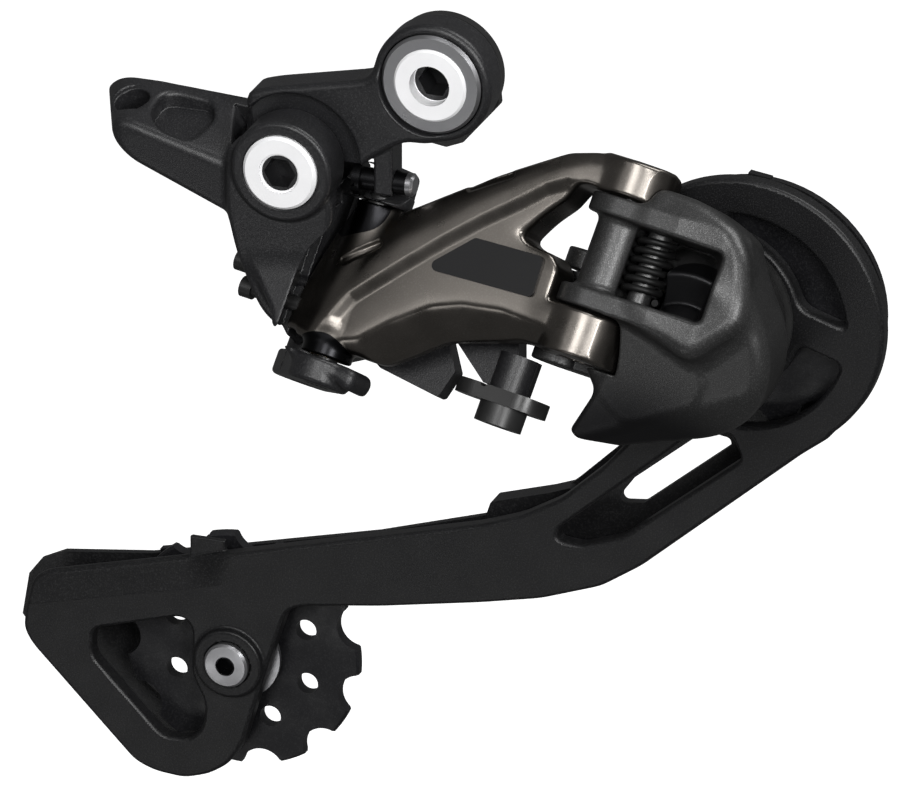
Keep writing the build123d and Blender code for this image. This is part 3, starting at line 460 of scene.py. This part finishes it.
def p_knuckle(x, y, z):
    """Round housing of the cage axle, with two flanges and a room between them for the return spring."""
    u, v, w = link_coordinates(x, y, z)
    px, pz = P_AXLE[0], P_AXLE[2]
    axle = disc(x, z, (px, pz), 0)
    block = [(27.8, -56.0), (29.0, -57.4), (36.0, -58.8), (46.5, -56.6), (52.0, -44.0), (42.1, -23.5),
             (37.0, -36.0), (35.4, -42.0), (31.6, -49.5)]
    front = slab(axle - P_FRONT_R, y, P_FRONT, -3.2, 3.0)
    front = join(front, slab(outline(x, z, soft(block, 0.8)), y, P_FRONT, -3.2, 0.9), 1.5)
    front = common(front, (-17.6 + 0.62 * (-52.2 - z) + 0.25 * (x - 40.0) - y) / 1.2, 1.0)
    body = join(front, slab(axle - P_REAR_R, y, -9.0, P_BACK, 0.5), 0.8)
    arm = [(LINK_LEN, -6.6), (LINK_LEN + 12, -6.2), (LINK_LEN + 20, -4.5), (LINK_LEN + 23, -1.0),
           (LINK_LEN + 22, 9.0), (LINK_LEN, 6.6)]
    flange = join(disc(u, v, (LINK_LEN, 0), EAR_R), outline(u, v, arm))
    for low, high in FLANGES:
        body = join(body, slab(flange, w, low, high, 0.6), 1.8)
    hood = [(LINK_LEN + 4.6, 18.0), (LINK_LEN + 4.6, 30.8), (LINK_LEN + 14.0, 30.8),
            (LINK_LEN + 20.6, 28.9), (LINK_LEN + 25.0, 25.0), (LINK_LEN + 27.8, 18.0),
            (LINK_LEN + 28.2, 12.0), (LINK_LEN + 21.0, 4.0), (LINK_LEN + 9.0, 8.0)]
    body = join(body, slab(outline(u, w, soft(hood, 3.0)), v, -5.8, 7.0, 2.4), 2.5)
    cavity = [(LINK_LEN - 8, -18), (LINK_LEN + 24.0, -18), (LINK_LEN + 21.0, -4), (LINK_LEN + 16.0, 6),
              (LINK_LEN + 10, 12), (LINK_LEN - 8, 12)]
    room = slab(outline(u, v, soft(cavity, 3.0)), w, 11.0, 23.4, 1.2)
    room = cut(room, slab(axle - 13.0, y, -11.0, 40, 0.8), 0.6)
    room = cut(room, slab(axle - 7.2, y, P_FRONT, 3, 0.5), 0.6)
    body = cut(body, room, 0.9)
    behind = [(LINK_LEN - 20, -13.6), (LINK_LEN, -13.6), (LINK_LEN, 7.6), (LINK_LEN - 20, 7.6)]
    swing = join(disc(u, v, (LINK_LEN, 0), EAR_R + 0.6), outline(u, v, behind))
    for low, high in ((-1.5, FLANGES[0][0]), (FLANGES[1][1], 36.0)):
        body = cut(body, slab(swing, w, low, high, 0.3), 0.5)
    x2, y2 = LINK_LEN + INNER_DX, INNER_DY
    reach = [(x2, y2 - 2.2), (x2 + 16, y2 - 2.2), (x2 + 16, y2 + 4.6), (x2, y2 + 4.6)]
    lug = join(disc(u, v, (x2, y2), 4.6), outline(u, v, reach))
    for low, high in INNER_LUGS:
        body = join(body, slab(lug, w, low, high, 0.4), 0.6)
    body = join(body, slab(disc(u, v, (LINK_LEN, 0), 4.3), w, 8.0, 26.4, 0.3), 1.5)
    body = cut(body, slab(disc(u, v, (x2, y2), 4.9), w, 1.2, 13.8, 0.1), 0.2)
    for spot, low, high in (((x2, y2), -10, 17.2), ((LINK_LEN, 0), -10, 40)):
        body = bored(body, slab(disc(u, v, spot, PIN_HOLE_R), w, low, high, 0))
    body = cut(body, slab(axle - 11.6, y, -9.5, 9, 0.3), 0.3)
    body = bored(body, slab(axle - 5.65, y, -14.0, 9, 0))
    body = np.maximum(body, y - P_BACK)
    post = disc(u, v, RETURN_POST, 0)
    body = cut(body, slab(post - 4.1, w, 11.0, 23.4, 0.2), 0.4)
    return join(body, slab(post - 2.0, w, 10.5, 23.9, 0.1), 0.4)


def make_p_knuckle():
    sculpt("p_knuckle_sculpt", p_knuckle, (17.0, -23.5, -60.5), (65.5, 4.5, -8.0), 1.1 * VOXEL, "p_knuckle",
           ["p_knuckle"], KNUCKLE_PAINT_AND_SHADE)


# ---------------------------------------------------------------- the B-knuckle
CABLE_EYE = np.array((-55.0, -6.0, -11.3))       # mouth of the housing socket, and the way it opens
CABLE_DIR = np.array((-0.20, -0.30, 0.93)) / np.linalg.norm((-0.20, -0.30, 0.93))
B_SCREW_Y, B_SCREW_Z = -6.0, -19.8               # the B-tension screw's axis, which runs along X
# height, depth and head of each limit screw, in the link frame
LIMIT_SCREWS = ((-3.2, -0.5, -18.9), (-7.2, -0.5, -16.4))
# the hanger link's end with clearance round it
HANGER_END = [(-33.7, -5.4), (-33.4, -10.6), (-31.9, -19.8), (-27.3, -26.7), (-20.4, -26.2),
              (-15.0, -19.6), (-2.0, -12.0), (0, 2.0), (-12.0, -0.2), (-29.7, -4.1)]


def cable_arm(x, y, z):
    """Arm with a top that falls towards the rider, and a pocket sunk in it."""
    near = np.clip((1.0 - y) / 15.0, -0.2, 1.2)
    top = -9.6 - 0.05 * np.maximum(x + 52, 0) - near * (2.2 + 0.24 * np.maximum(x + 54, 0))
    end = -62.6 + 5.2 * near + 0.35 * np.maximum(-12.0 - z, 0) + 0.10 * np.maximum(-12.0 - z, 0) ** 1.5
    floor = -17.6 - 0.42 * (x + 56.0)
    body = common(z - top, end - x, 6.0)
    body = common(body, (floor - z) * 0.92, 2.0)
    body = common(body, common(-14.0 - y, y - 1.0) + 0 * x, 1.6)
    body = common(body, x + 31.5 + 0 * y, 0.5)
    pocket = [(-50.6, -9.0), (-50.6, -3.4), (-48.5, -2.0), (-41.6, -2.2), (-40.0, -6.0), (-42.2, -12.4),
              (-47.8, -12.4)]
    depth = z + 14.6 - 0.28 * (y + 7.0)
    return cut(body, np.maximum(outline(x, y, soft(pocket, 2.0)), -depth), 0.9)


def b_knuckle(x, y, z):
    """Boss of the bracket axle with its skirt, the cable arm, and ears for both links' rear pins."""
    u, v, w = link_coordinates(x, y, z)
    bx, bz = B_AXLE[0], B_AXLE[2]
    axle = disc(x, z, (bx, bz), 0)
    skirt = [(-34.6, -12.5), (-34.6, -25.0), (-32.9, -32.5), (-30.4, -38.6), (-28.2, -43.0),
             (-24.6, -45.8), (-17.0, -43.0), (-15.2, -20.0), (-24.1, -16.0)]
    body = slab(outline(x, z, soft(skirt, 3.0)), y, -15.6, -8.8, 1.2)
    lobe = [(-24, 8), (-22, 1.3), (-15.5, -4.5), (-9.8, -10.0), (-8.9, -12.5), (-6.0, -12.5),
            (-6.0, 16), (-24, 14)]
    body = join(body, slab(outline(u, w, soft(lobe, 1.5)), v, -6.5, 5.0, 1.2), 1.5)
    ear = stadium(u, v, (0, 0), (INNER_DX, INNER_DY), 5.4)
    ear = join(ear, outline(u, v, [(-8.2, 2.0), (0, 2.0), (-6.0, 9.0), (-8.2, 9.0)]))
    body = join(body, slab(ear, w, -19.2, -14.7, 0.8), 0.8)
    hook = [(-9.4, -9.0), (-8.9, -11.9), (-7.6, -13.8), (-5.8, -15.6), (-3.0, -16.9), (0.8, -17.5),
            (4.4, -17.8), (7.4, -18.8), (8.2, -16.5), (7.4, -14.8), (-4.5, -14.7), (-4.5, -9.0)]
    body = join(body, slab(outline(u, w, soft(hook, 1.5)), v, -4.2, 4.8, 1.4), 0.8)
    ear = join(disc(u, v, (0, 0), 5.4), outline(u, v, [(-13, -5), (0, -5.3), (0, 5.3), (-13, 5)]))
    body = join(body, slab(ear, w, 13.4, 16.0, 0.5), 0.6)
    web = join(disc(u, v, (INNER_DX, INNER_DY), 4.6),
               outline(u, v, [(-20, 2), (-11, 2), (-5, 6), (-9, 14), (-18, 9)]))
    body = join(body, slab(web, w, 2.5, 7.5, 0.5), 0.6)
    run = [(-22, 2), (-11.5, 2), (-9.8, 8.8), (1.4, 8.8), (1.4, 11.4), (-14, 11.4), (-22, 6)]
    back = [(-24, 7.0), (-24, 14.0), (-11.0, 19.8), (-4.0, 21.0), (0.9, 20.6), (1.4, 12.6), (-4.0, 9.5),
            (-8.0, 7.0)]
    wall = common(slab(outline(u, v, run), w, 2.0, 24.0, 0.3), outline(u, w, soft(back, 1.5)), 1.0)
    body = join(body, wall, 0.8)
    body = join(body, cable_arm(x, y, z), 1.6)
    body = join(body, slab(axle - 9.0, y, -16.9, -7.6, 0.9), 0.9)
    from_eye = [place - eye for place, eye in zip((x, y, z), CABLE_EYE)]
    shaft = from_eye[0] * CABLE_DIR[0] + from_eye[1] * CABLE_DIR[1] + from_eye[2] * CABLE_DIR[2]
    off = [part - shaft * way for part, way in zip(from_eye, CABLE_DIR)]
    radius = np.sqrt(off[0] ** 2 + off[1] ** 2 + off[2] ** 2)
    body = cut(body, slab(radius - 3.8, shaft, 0, 20, 0.0), 0.4)
    body = cut(body, slab(radius - 3.05, shaft, -5.6, 5, 0), 0.3)
    body = bored(body, slab(radius - 2.62, shaft, -6.9, 0, 0))
    body = bored(body, slab(radius - 1.0, shaft, -30, 0, 0))
    outboard = np.maximum(disc(u, v, (0, 0), 9.9), v - 0.5)
    room = slab(np.minimum(disc(u, v, (0, 0), 8.3), outboard), w, -14.6, 13.3, 0)
    near_y, far_y, end_x = INNER_DY - 4, INNER_DY + 6, INNER_DX + 12
    sides = [(INNER_DX, near_y), (end_x, near_y), (end_x, far_y), (INNER_DX, far_y)]
    inner = join(disc(u, v, (INNER_DX, INNER_DY), 4.8), outline(u, v, sides))
    room = np.minimum(room, slab(inner, w, -14.6, 2.4, 0))
    body = cut(body, room, 0.4)
    lug = np.maximum(np.abs(x + 8.8) - 2.1, np.abs(z + 17.0) - 5.0)
    body = cut(body, slab(lug, y, -8.8, -2.4, 0), 0.3)
    screw = disc(y, z, (B_SCREW_Y, B_SCREW_Z), 0)
    body = cut(body, slab(screw - 3.5, x, -15.4, -4.4, 0), 0.3)
    for spot in ((0, 0), (INNER_DX, INNER_DY)):
        body = bored(body, slab(disc(u, v, spot, PIN_HOLE_R), w, -19.0, 20, 0))
    for height, depth, head in LIMIT_SCREWS:
        screw = disc(v, w, (depth, height), 0)
        body = cut(body, slab(screw - 2.05, u, head - 10, head, 0), 0.3)
        body = bored(body, slab(screw - 1.35, u, head - 5, head + 15, 0))
    body = cut(body, slab(axle - 11.8, y, -7.6, -1.5, 0), 0.4)
    swept = None             # where the hanger link's end passes while the knuckle turns
    for degrees in range(0, 35, 5):
        c, s = cos(radians(degrees)), sin(radians(degrees))
        dx, dz = x - bx, z - bz
        turned = outline(bx + dx * c + dz * s, bz - dx * s + dz * c, HANGER_END)
        swept = turned if swept is None else np.minimum(swept, turned)
    body = cut(body, slab(swept, y, -9.8, -1.5, 0), 0.3)
    body = bored(body, slab(axle - 5.25, y, -17.5, 0, 0))
    spring_room = np.maximum(axle - 7.7, 5.9 - axle)
    body = bored(body, slab(spring_room, y, -13.4, 0, 0))
    return cut(body, slab(axle - 6.75, y, -20, -14.4, 0), 0.3)


def make_b_knuckle():
    sculpt("b_knuckle_sculpt", b_knuckle, (-64, -27, -61.5), (-4.0, 11.5, -5.5), 1.1 * VOXEL, "b_knuckle",
           ["b_knuckle"], MATERIALS["black_grain_paint"])


# ---------------------------------------------------------------- the hanger link
def hanger_link(x, y, z):
    """Arm from the mount bolt to the bracket axle, with the lug that the B-tension screw runs in."""
    bx, bz = B_AXLE[0], B_AXLE[2]
    arm = [(-33.3, -5.8), (-33.0, -10.5), (-31.5, -19.5), (-27.0, -26.2), (-20.6, -25.8), (-15.6, -19.6),
           (-10.8, -15.0), (-4.8, -11.0), (0, -10.6), (6, 0), (0, 7.5), (-11.5, -0.6), (-29.5, -4.5)]
    hub = np.hypot(x, z)
    axle = disc(x, z, (bx, bz), 0)
    body = slab(outline(x, z, soft(arm, 2.5)), y, -9.4, -1.8, 1.3)
    body = join(body, slab(hub - 10.6, y, -8.6, -1.8, 1.2), 2.0)
    body = cut(body, slab(axle - 11.4, y, -14, -7.5, 0), 0.6)
    body = cut(body, slab(hub - 9.1, y, -14, -5.0, 0), 0.4)
    body = bored(body, slab(hub - 5.15, y, -7, 1, 0))
    body = bored(body, slab(axle - 4.05, y, -12, 1, 0))
    lug = np.maximum(np.abs(x + 8.8) - 1.7, np.abs(z + 17.0) - 4.6)
    body = join(body, slab(lug, y, -8.4, -2.8, 0.6), 0.5)
    screw = disc(y, z, (B_SCREW_Y, B_SCREW_Z), 0)
    body = bored(body, slab(screw - 2.05, x, -20, 0, 0))
    return cut(body, slab(screw - 3.4, x, -20.4, -10.8, 0), 0.2)


def make_hanger_link():
    sculpt("hanger_link_sculpt", hanger_link, (-34, -10.5, -27.5), (12, -0.5, 12), VOXEL, "hanger_side",
           ["hanger_link"], MATERIALS["black_grain_paint"])


# ---------------------------------------------------------------- the cage's outer plate
STOP_PIN = (31.8, -53.6)     # X, Z of the pin that stops the cage against the knuckle


def outer_plate(x, y, z):
    """The cage's outer plate: a spoked ring, a bent arm and a tail, with three windows."""
    arm = [(26.3, -71.6), (18.6, -78.7), (11.4, -82.9), (4.1, -85.6), (-43.0, -98.2), (-76.0, -106.6),
           (-78.6, -108.4), (-79.9, -117.2), (-78.4, -120.0), (-59.4, -139.4), (-55.8, -140.8),
           (-50.3, -141.3), (-45.8, -139.9), (-42.2, -137.5), (-39.5, -133.4), (-33.1, -112.1),
           (-31.2, -106.8), (-28.0, -105.6), (-14.1, -103.6), (4.1, -100.2), (15.0, -97.8), (25.9, -93.9),
           (33.1, -89.1), (67.1, -59.7), (58.0, -40.0), (34.0, -52.0), (32.6, -64.0)]
    rim_x, rim_z = 51.5, -40.3
    shape = join(disc(x, z, (rim_x, rim_z), 24.9), outline(x, z, soft(arm, 1.6)), 1.5)
    ring = bored(disc(x, z, (rim_x - 1.2, rim_z - 0.8), 19.4), disc(x, z, (46.3, -40.2), 15.4))
    ring = common(ring, rim_x - 3.0 - x + 0 * z, 1.0)
    lean = radians(-18)
    spoke = np.abs((z + 41.9) * cos(lean) - (x - 65.0) * sin(lean)) - 3.2
    ring = common(ring, -spoke, 2.0)
    tail = [(-67.0, -115.6), (-50.6, -110.8), (-48.6, -112.6), (-48.9, -121.4), (-46.3, -126.4),
            (-46.8, -131.2), (-49.4, -133.8), (-54.2, -133.9), (-67.2, -120.6)]
    wrist = [(18.0, -86.4), (22.3, -86.8), (29.5, -84.3), (33.1, -81.4), (51.3, -66.6), (49.4, -62.4),
             (44.0, -61.6), (38.2, -66.9), (25.9, -77.6), (18.2, -84.2)]
    for window in (ring, outline(x, z, soft(tail, 1.8)), outline(x, z, soft(wrist, 1.2))):
        shape = cut(shape, window, 0.4)
    tail_top = -0.2394 * (x + 75.4) + 0.9709 * (z + 111.8)
    face = 4.5 + np.clip(shape + 0.6, 0, 0.6) * 0.75 + 0.32 * np.maximum(tail_top, 0) * ramp(-x, 41.0, 50.0)
    body = common(slab(shape, y, 3.0, 7.6, 0.35), 0.8 * (face - y), 0.35)
    tension = disc(x, z, (TENSION[0], TENSION[2]), 0)
    body = join(body, slab(tension - 6.2, y, 3.2, 7.6, 0.5), 0.6)
    body = bored(body, slab(tension - 4.15, y, 0, 5.1, 0))
    holes = ((TENSION[0], TENSION[2], 2.55, 0), (GUIDE[0], GUIDE[2], 2.55, 4.9),
             (P_AXLE[0], P_AXLE[2], 2.65, 3), (*STOP_PIN, 1.95, 3))
    for hole_x, hole_z, radius, low in holes:
        body = bored(body, slab(disc(x, z, (hole_x, hole_z), radius), y, low, 9, 0))
    tab = np.maximum(np.abs(x + 46.4) - 3.2, np.abs(z + 99.0) - 2.7)
    return join(body, slab(tab, y, 6.4, 7.6, 0.3), 0.3)


def make_outer_plate():
    sculpt("outer_plate_sculpt", outer_plate, (-81.5, 2.2, -143), (78, 8.6, -13), 1.1 * VOXEL, "cage",
           ["outer_plate"], MATERIALS["cage_paint"])


# ---------------------------------------------------------------- carried-over nodes
# materials of nodes that don't take their slot's: painted shade, black, in the sockets of the bright bolt heads,
# the B-tension screw black but for its tip, and plated parts
FINISHES = {
    "mount_bolt": darken(MATERIALS["bright_steel"].copy(), (0, 0, 0), 3.5),
    "bracket_axle_bolt": darken(MATERIALS["bright_steel"].copy(), (B_AXLE[0], 0, B_AXLE[2]), 3.2),
    "tension_pulley_bolt": darken(MATERIALS["grey_steel"].copy(), (TENSION[0], 0, TENSION[2]), 1.75),
    "rear_outer_pin": MATERIALS["black_steel"],
    "return_spring": MATERIALS["spring_black"],
    "b_tension_screw": darken(MATERIALS["grey_steel"].copy(), (-14.0, B_SCREW_Y, B_SCREW_Z), 9.2,
                              (1, 1, 1)),
}


def dress_nodes():
    """Each CAD node gets its own finish, or else its slot's material."""
    for part in frame["record"]["subparts"]:
        node = frame["nodes"][part["node"]]
        node.data.materials.clear()
        node.data.materials.append(FINISHES.get(part["node"], MATERIALS[part["material_slot"]]))


# ---------------------------------------------------------------- camera, lights and floor
AZIMUTH, ELEVATION = radians(20.0), radians(23.0)
RIGHT = Vector((cos(AZIMUTH), sin(AZIMUTH), 0))
UP = Vector((-sin(AZIMUTH) * sin(ELEVATION), cos(AZIMUTH) * sin(ELEVATION), cos(ELEVATION)))
BACK = RIGHT.cross(UP)
VIEW_WIDTH = 0.1534          # metres across the picture
LENS, SENSOR = 800.0, 36.0


def facing(location, target):
    """Placement at a location, with -Z towards the target and Y up."""
    back = (location - target).normalized()
    side = Vector((0, 0, 1)).cross(back).normalized()
    up = back.cross(side)
    return Matrix.Translation(location) @ Matrix([side, up, back]).transposed().to_4x4()


def add_camera():
    """The picture's camera; returns the point that it looks at."""
    data = bpy.data.cameras.new("camera")
    data.lens, data.sensor_width, data.clip_end = LENS, SENSOR, 50
    camera = bpy.data.objects.new("camera", data)
    bpy.context.scene.collection.objects.link(camera)
    target = RIGHT * 0.0003 - UP * 0.05585 - BACK * 0.030
    camera.matrix_world = facing(target + BACK * (VIEW_WIDTH * LENS / SENSOR), target)
    bpy.context.scene.camera = camera
    return target


def add_light(name, target, right, up, back, size, power):
    """White panel at metres right, up and back of the target, as the camera sees it."""
    data = bpy.data.lights.new(name, "AREA")
    data.shape, data.size, data.size_y = "RECTANGLE", size[0], size[1]
    data.energy = power
    light = bpy.data.objects.new(name, data)
    bpy.context.scene.collection.objects.link(light)
    place = target + RIGHT * right + UP * up + BACK * back
    light.matrix_world = facing(place, target)


def add_floor():
    """Pale glowing sheet, well under the part."""
    size = 12.0
    mesh = bpy.data.meshes.new("floor")
    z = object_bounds()[0][2] - 0.35
    corners = [(-size, -size, z), (size, -size, z), (size, size, z), (-size, size, z)]
    mesh.from_pydata(corners, [], [(0, 1, 2, 3)])
    pale = material("pale_floor", (0.93, 0.93, 0.93), 0.8, vary=0.01, bump=0.0)
    surface = pale.node_tree.nodes["Principled BSDF"]
    surface.inputs["Emission Color"].default_value = (1, 1, 1, 1)
    surface.inputs["Emission Strength"].default_value = 0.8
    mesh.materials.append(pale)
    floor = bpy.data.objects.new("floor", mesh)
    bpy.context.scene.collection.objects.link(floor)
    floor.visible_glossy = floor.visible_diffuse = False


def add_world():
    """Faint even light from all round."""
    world = bpy.data.worlds.new("studio")
    world.use_nodes = True
    background = world.node_tree.nodes["Background"]
    background.inputs["Color"].default_value = (1, 1, 1, 1)
    background.inputs["Strength"].default_value = 0.12
    bpy.context.scene.world = world


def add_studio():
    target = add_camera()
    add_light("key", target, 0.55, 0.85, 0.35, (0.25, 0.9), 8)
    add_light("front", target, -0.26, 0.30, 1.05, (0.3, 0.5), 6)
    add_light("side", target, -0.72, 0.20, 0.78, (0.3, 0.3), 0.7)
    add_light("fill", target, 0.35, 0.0, 1.1, (0.3, 0.3), 8.5)
    add_light("low", target, -0.60, -0.75, 0.45, (0.5, 0.25), 1.2)
    add_floor()
    add_world()
    view = bpy.context.scene.view_settings
    view.view_transform = "Standard"
    view.look = "None"


add_studio()
dress_nodes()
make_outer_link()
make_p_knuckle()
make_b_knuckle()
make_hanger_link()
make_outer_plate()
